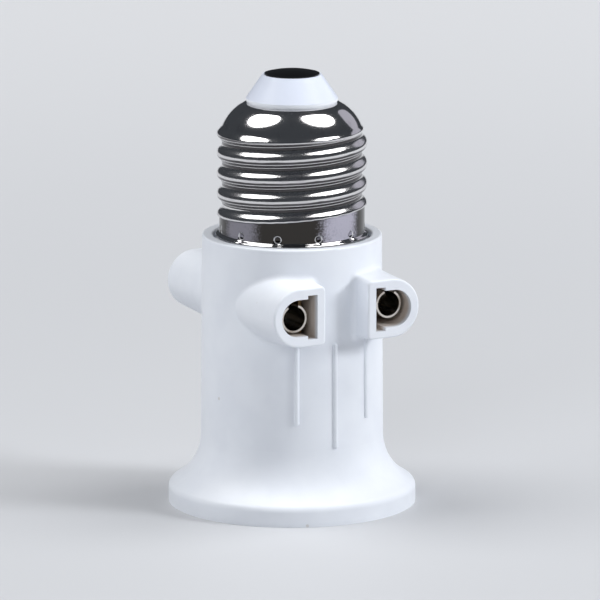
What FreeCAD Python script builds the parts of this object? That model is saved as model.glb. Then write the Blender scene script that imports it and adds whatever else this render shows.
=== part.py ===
import FreeCAD, Part
import math
import os

os.makedirs("parts", exist_ok=True)

Vector = FreeCAD.Vector

# A screw-in lamp holder adapter with two outlets. It stands on its skirt, cap up, and Z is its axis.
# The outlets face -Y and +Y, the live pole is at +X and the neutral pole at -X. Sizes are in millimetres.

# the 27 mm knuckle thread of the lamp holder; the cap's thread runs inside it with its clearance
thread_minor_radius = 12.4
thread_depth = 0.9
thread_pitch = 3.629
thread_land = 0.7
thread_root_width = 0.7
thread_clearance = 0.2

# moulded housing, outside
skirt_reach = 5.7
skirt_corner_radius = 1.4
flare_radius = 9.4
flare_top = 12.0
body_wall = 1.9
body_taper = 0.3
rim_edge_rounding = 0.35
rim_groove_depth = 1.2
rim_gap = 0.45

# rooms inside the housing
base_seat_height = 28.4
base_seat_width = 1.2
chamber_height = 15.0
chamber_deck = 3.0
neck_wall = 3.7
neck_rise = 2.7
post_radius = 2.4
post_web = 1.6

# outlets: a pair of D-shaped bosses on each side
pin_inset = 6.45
outlet_rise = 8.55
boss_face = 20.1
boss_wall = 1.9
boss_flat_wall = 1.6
boss_arc_offset = 0.15
boss_draft = 4.0
boss_side_draft = 1.0
boss_corner_radius = 0.8
boss_edge_rounding = 0.4
boss_blend_radius = 1.0
pocket_gap = 0.8
pocket_arc_offset = 0.15
slot_width = 1.85
slot_step = 0.6

# raised ribs on the body under each outlet
rib_radius = 0.45
rib_spread = 25.2
middle_rib_start = 0.65
side_rib_start = 5.15
middle_rib_drop = 6.45
side_rib_drop = 5.35

# screw cap, with its heights above its lower edge
cap_sheet = 0.35
cap_sink = 0.3
cap_skirt_inset = 0.4
cap_bead = 0.65
cap_bead_height = 0.75
cap_skirt_rise = 4.6
cap_skirt_slant = 4.0
cap_skirt_high_angle = -28.2
cap_groove_rise = 5.11
cap_groove_start_angle = 111.8
cap_groove_turns = 3.72
cap_groove_fade = 0.15
cap_thread_rise = 18.3
shoulder_step = 1.0
shoulder_rise = 3.45
shoulder_width = 2.8
shoulder_bulge = 0.3
lip_rise = 0.7
lip_width = 1.85
stake_count = 11
stake_rise = 1.4
stake_depth = 0.3
stake_ball_radius = 1.1
stake_first_angle = -129.5

# insulator and contact on the cap
insulator_overhang = 0.25
insulator_bulge = 0.2
insulator_foot = 0.85
insulator_height = 4.95
insulator_slope_width = 2.8
insulator_collar = 1.3
insulator_collar_width = 1.0
contact_inset = 0.4
contact_edge = 0.2
contact_rise = 0.85
contact_stem_radius = 1.5
contact_stem = 3.0

# contact sleeves and bars
sleeve_bore_radius = 2.1
sleeve_sheet = 0.35
sleeve_recess = 2.0
sleeve_length = 14.9
sleeve_wrap = 310.0
sleeve_slit_angle = 85.0
sleeve_tab_length = 5.0
sleeve_tab_end_inset = 2.0
sleeve_lift_front = 0.4
bar_sheet = 0.6
bar_recess = 3.1
bar_side_gap = 0.45
bar_rivet_inset = 0.95
rivet_shank_radius = 0.6
rivet_head_radius = 0.95
rivet_head = 0.4

# lamp holder at the bottom
base_thickness = 4.0
base_gap = 0.25
lamp_sheet = 0.4
lamp_gap = 0.4
lamp_shell_length = 19.0
lamp_groove_turns = 3.0
lamp_groove_start_angle = 270.0
lamp_groove_from_mouth = 3.6
lamp_floor_hole_radius = 5.6
lamp_neck_height = 3.6
lamp_neck_inset = 0.5
tongue_width = 4.2
tongue_sheet = 0.5
tongue_rivet_x = 3.4
tongue_drop = 3.6
tongue_flat = 1.7
tongue_tip = 1.4
stud_radius = 0.9
stud_head_radius = 1.6
stud_head = 0.5
tag_sheet = 0.4
tag_width = 4.0
tag_reach = 5.8
screw_radius = 1.45
screw_length = 10.0
screw_head_gap = 0.2
screw_head = 1.9
screw_head_rounding = 0.6
screw_slot_width = 0.7
screw_slot_depth = 0.9
pilot_spare = 2.0

# leads
lead_radius = 0.8
lead_spread = 2.4
lead_drop = 2.5
solder_radius = 1.5
solder_height = 4.0

# clearances between pieces that fit together
sheet_gap = 0.15
shank_gap = 0.05

# places worked out from the sizes above
tiny = 0.01
past_cut = 1.0
groove_overrun = 0.1
thread_major_radius = thread_minor_radius + thread_depth
lamp_shell_radius = thread_major_radius + lamp_sheet
lamp_bore_radius = lamp_shell_radius + lamp_gap
body_radius = lamp_bore_radius + body_wall
body_top_radius = body_radius - body_taper
skirt_radius = body_radius + skirt_reach
base_radius = lamp_bore_radius - base_gap
base_bottom = base_seat_height - base_thickness
lamp_floor_bottom = base_bottom - lamp_sheet
lamp_mouth = base_bottom - lamp_shell_length
chamber_radius = lamp_bore_radius - base_seat_width
chamber_roof_height = base_seat_height + chamber_height
rim_groove_floor = chamber_roof_height + chamber_deck
body_height = rim_groove_floor + rim_groove_depth
neck_height = body_height + neck_rise
outlet_height = base_seat_height + outlet_rise
fixing_radius = (lamp_floor_hole_radius + thread_minor_radius) / 2
screw_head_radius = thread_minor_radius - lamp_neck_inset - fixing_radius - screw_head_gap
pilot_depth = screw_length - base_thickness - lamp_sheet + pilot_spare
cap_crest_radius = thread_major_radius - thread_clearance
cap_root_radius = cap_crest_radius - thread_depth
cap_skirt_radius = cap_crest_radius - cap_skirt_inset
cap_inner_radius = cap_skirt_radius - cap_sheet
cap_bore_radius = cap_root_radius - cap_sheet
cap_bead_radius = cap_skirt_radius + cap_bead
neck_radius = cap_inner_radius - sheet_gap
neck_bore_radius = neck_radius - neck_wall
rim_inner_radius = cap_bead_radius + rim_gap
cap_bottom = body_height - cap_sink
stake_height = cap_bottom + stake_rise
cap_thread_top = cap_bottom + cap_thread_rise
shoulder_foot = cap_thread_top + shoulder_step
shoulder_bend = shoulder_foot + shoulder_rise
shoulder_bend_radius = cap_root_radius - shoulder_width
lip_height = shoulder_bend + lip_rise
lip_radius = shoulder_bend_radius - lip_width
insulator_top = lip_height + insulator_height
sleeve_radius = sleeve_bore_radius + sleeve_sheet
sleeve_end = boss_face - sleeve_recess
pin_x = body_top_radius - pin_inset
bar_outer_x = pin_x - sleeve_radius
bar_inner_x = bar_outer_x - bar_sheet
bar_end = sleeve_end - bar_recess
pocket_radius = sleeve_radius + pocket_gap
slot_inner = bar_inner_x - bar_side_gap
slot_half_height = pocket_radius + slot_step
bar_half_height = slot_half_height - sheet_gap
bar_rivet_height = bar_half_height - bar_rivet_inset
boss_half_height = pocket_radius + boss_wall
boss_flat = slot_inner - boss_flat_wall


def revolved(edges):
    """Solid made by turning a closed outline, drawn in the XZ plane, about the Z axis."""
    face = Part.Face(Part.Wire(edges))
    return face.revolve(Vector(0, 0, 0), Vector(0, 0, 1), 360)


def turned(points):
    """Solid of revolution whose outline is straight from point to point, each (radius, height)."""
    outline = [Vector(radius, 0, height) for radius, height in points]
    return revolved(Part.makePolygon(outline + [outline[0]]).Edges)


def line(start, end):
    """Straight edge between two (radius, height) points."""
    return Part.makeLine(Vector(start[0], 0, start[1]), Vector(end[0], 0, end[1]))


def arc(start, middle, end):
    """Arc through three (radius, height) points."""
    points = [Vector(radius, 0, height) for radius, height in (start, middle, end)]
    return Part.Arc(points[0], points[1], points[2]).toShape()


def rod(radius, start, end):
    """Cylinder between two points."""
    direction = end.sub(start)
    return Part.makeCylinder(radius, direction.Length, start, direction)


def fixing_rod(radius, low, high):
    """Upright cylinder at the place of the front screw of the lamp base."""
    return rod(radius, Vector(0, -fixing_radius, low), Vector(0, -fixing_radius, high))


def box(low, high):
    """Box between two opposite corners."""
    return Part.makeBox(high[0] - low[0], high[1] - low[1], high[2] - low[2], Vector(*low))


def both_sides(shape):
    """The shape and its copy turned half a turn about the Z axis."""
    other = shape.copy()
    other.rotate(Vector(0, 0, 0), Vector(0, 0, 1), 180)
    return [shape, other]


def one_solid(shape):
    """The single solid inside a boolean result, with its seams cleaned."""
    cleaned = shape.removeSplitter()
    return cleaned.Solids[0]


def flare_middle(curve_radius, tube_radius, edge_height):
    """Middle of a flare arc that leaves the tube at the top of the flare and ends at the edge's height."""
    half = math.asin((flare_top - edge_height) / curve_radius) / 2
    return (
        tube_radius + curve_radius * (1 - math.cos(half)),
        flare_top - curve_radius * math.sin(half),
    )


def groove_outline(mouth, floor, past):
    """Trapezoid section of a knuckle groove in the XZ plane, drawn past its mouth."""
    mouth_half = (thread_pitch - thread_land) / 2
    floor_half = thread_root_width / 2
    slope = (mouth_half - floor_half) / (floor - mouth)
    wide_half = mouth_half - slope * past
    points = [
        Vector(mouth + past, 0, -wide_half),
        Vector(floor, 0, -floor_half),
        Vector(floor, 0, floor_half),
        Vector(mouth + past, 0, wide_half),
    ]
    return Part.makePolygon(points + [points[0]])


def thread_groove(outer_radius, inner_radius, start_height, start_angle, turns, outward):
    """Helical knuckle groove between two radii; its mouth is the outer one, or the inner one if outward."""
    mouth = inner_radius if outward else outer_radius
    floor = outer_radius if outward else inner_radius
    past = -groove_overrun if outward else groove_overrun
    helix = Part.Wire(Part.makeHelix(thread_pitch, thread_pitch * turns, mouth).Edges)
    groove = helix.makePipeShell([groove_outline(mouth, floor, past)], True, True)
    groove.translate(Vector(0, 0, start_height))
    groove.rotate(Vector(0, 0, 0), Vector(0, 0, 1), start_angle)
    return groove


def boss_outline(y):
    """D-shaped section of an outlet boss at one depth, grown by its drafts behind the face."""
    behind = boss_face + y
    half = boss_half_height + behind * math.tan(math.radians(boss_draft))
    spread = behind * math.tan(math.radians(boss_side_draft))
    tip_x = pin_x - boss_arc_offset + boss_half_height + spread
    arc_x = tip_x - half
    flat_x = boss_flat - spread
    low = outlet_height - half
    high = outlet_height + half
    top = Part.makeLine(Vector(flat_x, y, high), Vector(arc_x, y, high))
    round_end = Part.Arc(
        Vector(arc_x, y, high), Vector(tip_x, y, outlet_height), Vector(arc_x, y, low)
    ).toShape()
    bottom = Part.makeLine(Vector(arc_x, y, low), Vector(flat_x, y, low))
    flat = Part.makeLine(Vector(flat_x, y, low), Vector(flat_x, y, high))
    return Part.Wire([top, round_end, bottom, flat])


def boss():
    """One solid outlet boss on the +X side of the front outlet, running back into the body."""
    root = boss_flat
    solid = Part.makeLoft([boss_outline(-boss_face), boss_outline(-root)], True, True)
    corners = [
        edge for edge in solid.Edges
        if abs(edge.Vertexes[0].Y - edge.Vertexes[-1].Y) > boss_face - root - tiny
        and all(vertex.X < pin_x - boss_arc_offset - tiny for vertex in edge.Vertexes)
    ]
    solid = solid.makeFillet(boss_corner_radius, corners)
    face_edges = [edge for edge in solid.Edges if edge.BoundBox.YMax < -boss_face + tiny]
    return solid.makeFillet(boss_edge_rounding, face_edges)


def mirrored_outlets(shape):
    """A shape of the front outlet's +X pole, and its copies at the other three poles."""
    other_pole = shape.mirror(Vector(0, 0, 0), Vector(1, 0, 0))
    return both_sides(shape) + both_sides(other_pole)


def pocket():
    """Keyhole-shaped pocket of one boss: round about the pin, with a taller slot beside the flat wall."""
    depth_start = -boss_face - past_cut
    arc_x = pin_x + pocket_arc_offset
    slot = box(
        (slot_inner, depth_start, outlet_height - slot_half_height),
        (slot_inner + slot_width, 0, outlet_height + slot_half_height),
    )
    middle = box(
        (slot_inner, depth_start, outlet_height - pocket_radius),
        (arc_x, 0, outlet_height + pocket_radius),
    )
    round_part = rod(
        pocket_radius, Vector(arc_x, depth_start, outlet_height), Vector(arc_x, 0, outlet_height)
    )
    return slot.fuse([middle, round_part])


def rib(angle, start, end):
    """Half-round rib along the tapered wall of the body, with ball ends."""
    taper = body_taper / (body_height - flare_top)

    def wall_point(height):
        radius = body_radius - taper * (height - flare_top)
        turn = math.radians(angle - 90)
        return Vector(radius * math.cos(turn), radius * math.sin(turn), height)

    low = wall_point(start)
    high = wall_point(end)
    ends = [Part.makeSphere(rib_radius, low), Part.makeSphere(rib_radius, high)]
    return rod(rib_radius, low, high).fuse(ends)


def housing_outside():
    """The body of revolution with the skirt, the tapered wall, the rim, the groove and the staked neck."""
    flare_centre = body_radius + flare_radius
    corner_x = skirt_radius - skirt_corner_radius
    reach = flare_radius + skirt_corner_radius
    side = flare_centre - corner_x
    drop = math.sqrt(reach ** 2 - side ** 2)
    corner_z = flare_top - drop
    corner_end = (flare_centre - side * flare_radius / reach, flare_top - drop * flare_radius / reach)
    corner_turn = math.atan2(drop, side) / 2
    corner_middle = (
        corner_x + skirt_corner_radius * math.cos(corner_turn),
        corner_z + skirt_corner_radius * math.sin(corner_turn),
    )
    stake_half = stake_ball_radius + sheet_gap
    stake_floor = neck_radius - stake_depth - sheet_gap
    outline = [
        line((0, 0), (skirt_radius, 0)),
        line((skirt_radius, 0), (skirt_radius, corner_z)),
        arc((skirt_radius, corner_z), corner_middle, corner_end),
        arc(corner_end, flare_middle(flare_radius, body_radius, corner_end[1]), (body_radius, flare_top)),
    ]
    upper = [
        (body_radius, flare_top),
        (body_top_radius, body_height),
        (rim_inner_radius, body_height),
        (rim_inner_radius, rim_groove_floor),
        (neck_radius, rim_groove_floor),
        (neck_radius, stake_height - stake_half),
        (stake_floor, stake_height - stake_half),
        (stake_floor, stake_height + stake_half),
        (neck_radius, stake_height + stake_half),
        (neck_radius, neck_height),
        (0, neck_height),
        (0, 0),
    ]
    outline += [line(start, end) for start, end in zip(upper, upper[1:])]
    solid = revolved(outline)
    rim_edges = [
        edge for edge in solid.Edges
        if edge.BoundBox.ZMin > body_height - tiny and edge.BoundBox.ZMax < body_height + tiny
        and edge.BoundBox.XMax > rim_inner_radius - tiny
    ]
    return solid.makeFillet(rim_edge_rounding, rim_edges)


def housing_rooms():
    """The hollow of the housing: skirt mouth, lamp bore, wiring chamber and neck bore."""
    inner_curve = flare_radius + body_wall
    mouth_radius = skirt_radius - body_wall
    side = lamp_bore_radius + inner_curve - mouth_radius
    edge_top = flare_top - math.sqrt(inner_curve ** 2 - side ** 2)
    outline = [
        line((0, -past_cut), (mouth_radius, -past_cut)),
        line((mouth_radius, -past_cut), (mouth_radius, edge_top)),
        arc(
            (mouth_radius, edge_top),
            flare_middle(inner_curve, lamp_bore_radius, edge_top),
            (lamp_bore_radius, flare_top),
        ),
    ]
    upper = [
        (lamp_bore_radius, flare_top),
        (lamp_bore_radius, base_seat_height),
        (chamber_radius, base_seat_height),
        (chamber_radius, chamber_roof_height),
        (neck_bore_radius, chamber_roof_height),
        (neck_bore_radius, neck_height + past_cut),
        (0, neck_height + past_cut),
        (0, -past_cut),
    ]
    outline += [line(start, end) for start, end in zip(upper, upper[1:])]
    return revolved(outline)


def is_boss_seam(edge):
    """Whether an edge lies all along the body's wall at a boss, where the two blend."""
    span = edge.LastParameter - edge.FirstParameter
    for share in (0, 0.3, 0.7, 1):
        point = edge.valueAt(edge.FirstParameter + span * share)
        radius = math.hypot(point.x, point.y)
        if not body_top_radius - tiny < radius < body_radius + tiny:
            return False
        if abs(point.z - outlet_height) > 2 * boss_half_height:
            return False
    return True


def make_housing():
    """The white moulding: body, skirt, four bosses, ribs, neck and the two posts inside."""
    body = one_solid(housing_outside().fuse(mirrored_outlets(boss())))
    body = body.makeFillet(boss_blend_radius, [edge for edge in body.Edges if is_boss_seam(edge)])
    body = body.cut(housing_rooms())
    body = body.cut(mirrored_outlets(pocket()))
    post_top = chamber_roof_height + chamber_deck / 2
    post = fixing_rod(post_radius, base_seat_height, post_top)
    web = box(
        (-post_web / 2, -chamber_radius - body_wall / 2, base_seat_height),
        (post_web / 2, -fixing_radius, post_top),
    )
    pilot = fixing_rod(
        screw_radius + shank_gap, base_seat_height - past_cut, base_seat_height + pilot_depth
    )
    body = body.fuse(both_sides(post) + both_sides(web))
    body = one_solid(body.cut(both_sides(pilot)))
    side_ends = (flare_top + side_rib_start, outlet_height - side_rib_drop)
    ribs = [
        rib(0, flare_top + middle_rib_start, outlet_height - middle_rib_drop),
        rib(rib_spread, *side_ends),
        rib(-rib_spread, *side_ends),
    ]
    return body.fuse([piece for half in ribs for piece in both_sides(half)]).Solids[0]


def shoulder_curve(offset):
    """The cap's shoulder as foot, middle and bend, moved in by the sheet for its inner side."""
    slant = math.hypot(shoulder_width, shoulder_rise)
    out = shoulder_rise / slant
    up = shoulder_width / slant
    foot = (cap_root_radius - offset, shoulder_foot)
    bend = (shoulder_bend_radius - offset * out, shoulder_bend - offset * up)
    middle = (
        (foot[0] + bend[0]) / 2 + shoulder_bulge * out,
        (foot[1] + bend[1]) / 2 + shoulder_bulge * up,
    )
    return foot, middle, bend


def cap_outside():
    """The cap's outer form before its thread is cut: bead, skirt, thread crest and shoulder."""
    foot, middle, bend = shoulder_curve(0)
    lip = (lip_radius, lip_height)
    bead_top = cap_bottom + cap_bead_height
    middle_height = cap_bottom + cap_skirt_rise
    skirt = turned([
        (0, cap_bottom),
        (cap_bead_radius, cap_bottom),
        (cap_skirt_radius, bead_top),
        (cap_skirt_radius, middle_height + cap_skirt_rise / 2),
        (0, middle_height + cap_skirt_rise / 2),
    ])
    threaded = revolved([
        line((0, bead_top), (cap_crest_radius, bead_top)),
        line((cap_crest_radius, bead_top), (cap_crest_radius, cap_thread_top)),
        line((cap_crest_radius, cap_thread_top), foot),
        arc(foot, middle, bend),
        line(bend, lip),
        line(lip, (0, lip_height)),
        line((0, lip_height), (0, bead_top)),
    ])
    below = box(
        (-2 * cap_crest_radius, -2 * cap_crest_radius, -cap_thread_rise),
        (2 * cap_crest_radius, 2 * cap_crest_radius, 0),
    )
    below.rotate(Vector(0, 0, 0), Vector(0, 1, 0), -cap_skirt_slant)
    below.rotate(Vector(0, 0, 0), Vector(0, 0, 1), cap_skirt_high_angle)
    below.translate(Vector(0, 0, middle_height))
    return threaded.cut(below).fuse(skirt)


def cap_inside():
    """The room inside the cap's sheet, wide over the neck and narrow behind the thread."""
    foot, middle, bend = shoulder_curve(cap_sheet)
    bead_radius = cap_bead_radius - cap_sheet
    bead_top = cap_bottom + cap_bead_height
    neck_room = neck_height + 2 * sheet_gap
    narrow = (cap_bore_radius, neck_room + thread_depth)
    lip_under = (lip_radius, lip_height - cap_sheet)
    return revolved([
        line((0, cap_bottom - past_cut), (bead_radius, cap_bottom - past_cut)),
        line((bead_radius, cap_bottom - past_cut), (bead_radius, cap_bottom)),
        line((bead_radius, cap_bottom), (cap_inner_radius, bead_top)),
        line((cap_inner_radius, bead_top), (cap_inner_radius, neck_room)),
        line((cap_inner_radius, neck_room), narrow),
        line(narrow, foot),
        arc(foot, middle, bend),
        line(bend, lip_under),
        line(lip_under, (lip_radius, lip_height + past_cut)),
        line((lip_radius, lip_height + past_cut), (0, lip_height + past_cut)),
        line((0, lip_height + past_cut), (0, cap_bottom - past_cut)),
    ])


def cap_groove():
    """The cap's thread groove, and its two ends, which climb out of the sheet along a cone."""
    start = cap_bottom + cap_groove_rise
    groove = thread_groove(
        cap_crest_radius, cap_root_radius, start, cap_groove_start_angle, cap_groove_turns, False
    )
    rise = thread_pitch * cap_groove_fade
    climb = math.degrees(math.atan((thread_depth + 2 * groove_overrun) / rise))
    helix = Part.Wire(Part.makeHelix(thread_pitch, rise, cap_crest_radius, climb).Edges)
    section = groove_outline(cap_crest_radius, cap_root_radius, groove_overrun)
    last_fade = helix.makePipeShell([section], True, True)
    first_fade = last_fade.copy()
    first_fade.rotate(Vector(0, 0, 0), Vector(1, 0, 0), 180)
    for fade, turns in ((first_fade, 0), (last_fade, cap_groove_turns)):
        fade.rotate(Vector(0, 0, 0), Vector(0, 0, 1), cap_groove_start_angle + 360 * turns)
        fade.translate(Vector(0, 0, start + thread_pitch * turns))
    return [first_fade, last_fade, groove]


def make_cap_shell():
    """The screw cap: plain skirt with a bead, rolled thread, domed shoulder and the ring of stake dents."""
    shell = cap_outside().cut(cap_inside())
    for groove in cap_groove():
        shell = shell.cut(groove)
    ball_place = cap_skirt_radius - stake_depth + stake_ball_radius
    sheet_middle = cap_inner_radius + cap_sheet / 2
    room = Part.makeCylinder(sheet_middle, neck_height - cap_bottom, Vector(0, 0, cap_bottom))
    dents = []
    bumps = []
    for index in range(stake_count):
        turn = math.radians(stake_first_angle + 360 / stake_count * index)
        centre = Vector(ball_place * math.cos(turn), ball_place * math.sin(turn), stake_height)
        dents.append(Part.makeSphere(stake_ball_radius, centre))
        bumps.append(Part.makeSphere(stake_ball_radius + cap_sheet, centre).common(room))
    return one_solid(shell.fuse(bumps).cut(dents))


def make_cap_insulator():
    """The insulating frustum on the cap, held by its collar under the shoulder, bored for the contact."""
    foot_radius = lip_radius + insulator_overhang
    wide_radius = foot_radius + insulator_bulge
    wide = lip_height + insulator_foot
    neck = lip_radius - sheet_gap
    collar = neck + insulator_collar_width
    collar_top = lip_height - cap_sheet - 2 * sheet_gap
    collar_bottom = collar_top - insulator_collar
    bore = contact_stem_radius + shank_gap
    return revolved([
        line((bore, collar_bottom), (collar, collar_bottom)),
        line((collar, collar_bottom), (collar, collar_top - cap_sheet)),
        line((collar, collar_top - cap_sheet), (neck, collar_top)),
        line((neck, collar_top), (neck, lip_height)),
        line((neck, lip_height), (foot_radius, lip_height)),
        arc(
            (foot_radius, lip_height),
            (wide_radius - insulator_bulge / 4, lip_height + insulator_foot / 2.4),
            (wide_radius, wide),
        ),
        line((wide_radius, wide), (wide_radius - insulator_slope_width, insulator_top)),
        line((wide_radius - insulator_slope_width, insulator_top), (bore, insulator_top)),
        line((bore, insulator_top), (bore, collar_bottom)),
    ])


def make_cap_contact():
    """The low domed centre contact with the stem that takes the live lead."""
    insulator_top_radius = lip_radius + insulator_overhang + insulator_bulge - insulator_slope_width
    contact_radius = insulator_top_radius - contact_inset
    edge = insulator_top + contact_edge
    top = insulator_top + contact_rise
    rise = top - edge
    dome_radius = (contact_radius ** 2 + rise ** 2) / (2 * rise)
    half = math.asin(contact_radius / dome_radius) / 2
    middle = (dome_radius * math.sin(half), top - dome_radius * (1 - math.cos(half)))
    stem_end = insulator_top - contact_stem
    return revolved([
        line((0, stem_end), (contact_stem_radius, stem_end)),
        line((contact_stem_radius, stem_end), (contact_stem_radius, insulator_top)),
        line((contact_stem_radius, insulator_top), (contact_radius, insulator_top)),
        line((contact_radius, insulator_top), (contact_radius, edge)),
        arc((contact_radius, edge), middle, (0, top)),
        line((0, top), (0, stem_end)),
    ])


def make_sleeve(lift):
    """Sleeve rolled from sheet for the front +X pole, with a flat tab on its inner side for the rivet."""
    centre = Vector(pin_x, -sleeve_end, outlet_height + lift)
    start = math.radians(sleeve_slit_angle + (360 - sleeve_wrap) / 2)
    end = start + math.radians(sleeve_wrap)

    def rim_point(radius, turn):
        return Vector(centre.x + radius * math.cos(turn), centre.y, centre.z + radius * math.sin(turn))

    middle = (start + end) / 2
    outer = Part.Arc(
        rim_point(sleeve_radius, start), rim_point(sleeve_radius, middle), rim_point(sleeve_radius, end)
    ).toShape()
    inner = Part.Arc(
        rim_point(sleeve_bore_radius, end),
        rim_point(sleeve_bore_radius, middle),
        rim_point(sleeve_bore_radius, start),
    ).toShape()
    section = Part.Wire([
        outer,
        Part.makeLine(rim_point(sleeve_radius, end), rim_point(sleeve_bore_radius, end)),
        inner,
        Part.makeLine(rim_point(sleeve_bore_radius, start), rim_point(sleeve_radius, start)),
    ])
    tube = Part.Face(section).extrude(Vector(0, sleeve_length, 0))
    tab_end = -sleeve_end + sleeve_length - sleeve_tab_end_inset
    tab_start = tab_end - sleeve_tab_length
    notch = box(
        (bar_outer_x + sleeve_sheet, tab_start, centre.z),
        (centre.x, tab_end, centre.z + sleeve_radius + past_cut),
    )
    tab = box(
        (bar_outer_x, tab_start, centre.z),
        (bar_outer_x + sleeve_sheet, tab_end, outlet_height + bar_half_height),
    )
    hole_y = rivet_place()
    hole = rod(
        rivet_shank_radius + shank_gap,
        Vector(0, hole_y, outlet_height + bar_rivet_height),
        Vector(pin_x, hole_y, outlet_height + bar_rivet_height),
    )
    return one_solid(tube.cut(notch).fuse(tab)).cut(hole)


def rivet_place():
    """Where the front rivet of a bar stands, along Y: the middle of the sleeve's tab."""
    return -sleeve_end + sleeve_length - sleeve_tab_end_inset - sleeve_tab_length / 2


def make_bar():
    """Upright brass strip that joins the front and the rear sleeve of the +X pole."""
    strip = box(
        (bar_inner_x, -bar_end, outlet_height - bar_half_height),
        (bar_outer_x, bar_end, outlet_height + bar_half_height),
    )
    height = outlet_height + bar_rivet_height
    holes = [
        rod(rivet_shank_radius + shank_gap, Vector(0, y, height), Vector(pin_x, y, height))
        for y in (rivet_place(), -rivet_place())
    ]
    return strip.cut(holes)


def bar_rivet(y):
    """Rivet along X through the bar and a sleeve's tab, with a head on each side."""
    height = outlet_height + bar_rivet_height
    inner = bar_inner_x
    outer = bar_outer_x + sleeve_sheet
    shank = rod(rivet_shank_radius, Vector(inner, y, height), Vector(outer, y, height))
    head = rod(rivet_head_radius, Vector(inner - rivet_head, y, height), Vector(inner, y, height))
    upset = rod(rivet_head_radius, Vector(outer, y, height), Vector(outer + rivet_head, y, height))
    return one_solid(shank.fuse([head, upset]))


def make_bar_rivets():
    """The two rivets of the +X pole."""
    return Part.makeCompound([bar_rivet(rivet_place()), bar_rivet(-rivet_place())])


def other_pole(shape):
    """The same piece on the -X pole."""
    return shape.mirror(Vector(0, 0, 0), Vector(1, 0, 0))


def to_rear(shape):
    """A front piece mirrored to the rear outlet."""
    return shape.mirror(Vector(0, 0, 0), Vector(0, 1, 0))


def make_lamp_base():
    """Insulating disc under the posts, with holes for the screws and the two studs."""
    disc = Part.makeCylinder(base_radius, base_thickness, Vector(0, 0, base_bottom))
    screw_hole = fixing_rod(screw_radius + sheet_gap, base_bottom - past_cut, base_seat_height + past_cut)
    stud_holes = [
        stud_hole(x, base_bottom - past_cut, base_seat_height + past_cut)
        for x in (tongue_rivet_x, -fixing_radius)
    ]
    return disc.cut(both_sides(screw_hole) + stud_holes)


def make_lamp_shell():
    """The female screw shell, necked at its closed end, with a floor that the screws and one rivet hold."""
    tube = turned([
        (thread_minor_radius, lamp_mouth),
        (lamp_shell_radius, lamp_mouth),
        (lamp_shell_radius, base_bottom),
        (lamp_floor_hole_radius, base_bottom),
        (lamp_floor_hole_radius, lamp_floor_bottom),
        (thread_minor_radius - lamp_neck_inset, lamp_floor_bottom),
        (thread_minor_radius, lamp_floor_bottom - lamp_neck_height),
    ])
    tube = tube.cut(thread_groove(
        thread_major_radius, thread_minor_radius,
        lamp_mouth + lamp_groove_from_mouth, lamp_groove_start_angle, lamp_groove_turns, True
    ))
    screw_hole = fixing_rod(
        screw_radius + sheet_gap, lamp_floor_bottom - past_cut, base_bottom + past_cut
    )
    rivet_hole = stud_hole(-fixing_radius, lamp_floor_bottom - past_cut, base_bottom + past_cut)
    return one_solid(tube.cut(both_sides(screw_hole) + [rivet_hole]))


def make_lamp_tongue():
    """Sprung strip under the base: a flat end on the rivet, a slope down to the axis and a turned-up tip."""
    half = tongue_sheet / 2
    high = base_bottom - half
    low = base_bottom - tongue_drop + half
    spine = [
        Vector(tongue_rivet_x + stud_head_radius - half, 0, high),
        Vector(tongue_rivet_x - stud_head_radius - half, 0, high),
        Vector(tongue_flat / 2, 0, low),
        Vector(-tongue_flat / 2, 0, low),
        Vector(-tongue_flat / 2 - tongue_tip, 0, low + tongue_tip),
    ]
    upper = [point.add(Vector(0, 0, half)) for point in spine]
    lower = [point.sub(Vector(0, 0, half)) for point in reversed(spine)]
    outline = Part.makePolygon(upper + lower + [upper[0]])
    strip = Part.Face(outline).extrude(Vector(0, tongue_width, 0))
    strip.translate(Vector(0, -tongue_width / 2, 0))
    return strip.cut(stud_hole(tongue_rivet_x, low - past_cut, base_bottom + past_cut))


def stud_hole(x, low, high):
    """Hole for a stud through whatever lies between two heights."""
    return rod(stud_radius + shank_gap, Vector(x, 0, low), Vector(x, 0, high))


def stud(x, bottom):
    """Rivet through the base from the piece under it to the tag on top."""
    top = base_seat_height + tag_sheet
    shank = rod(stud_radius, Vector(x, 0, bottom), Vector(x, 0, top))
    head = rod(stud_head_radius, Vector(x, 0, bottom - stud_head), Vector(x, 0, bottom))
    upset = rod(stud_head_radius, Vector(x, 0, top), Vector(x, 0, top + stud_head))
    return one_solid(shank.fuse([head, upset]))


def make_tag(rivet_x, reach):
    """Flat solder tag on the base, from its rivet to the end of the lead."""
    low = min(rivet_x - tag_width / 2, rivet_x + reach)
    high = max(rivet_x + tag_width / 2, rivet_x + reach)
    strip = box(
        (low, -tag_width / 2, base_seat_height), (high, tag_width / 2, base_seat_height + tag_sheet)
    )
    return strip.cut(stud_hole(rivet_x, base_seat_height - past_cut, base_seat_height + past_cut))


def base_screw():
    """Slotted pan-head screw up through the shell's floor and the base into a post."""
    head_bottom = lamp_floor_bottom - screw_head
    shank = fixing_rod(screw_radius, lamp_floor_bottom, lamp_floor_bottom + screw_length)
    head = fixing_rod(screw_head_radius, head_bottom, lamp_floor_bottom)
    rim = [edge for edge in head.Edges if edge.BoundBox.ZMax < head_bottom + tiny]
    head = head.makeFillet(screw_head_rounding, rim)
    slot = box(
        (-screw_slot_width / 2, -fixing_radius - screw_head_radius, head_bottom - past_cut),
        (screw_slot_width / 2, -fixing_radius + screw_head_radius, head_bottom + screw_slot_depth),
    )
    return one_solid(shank.fuse(head)).cut(slot)


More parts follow.
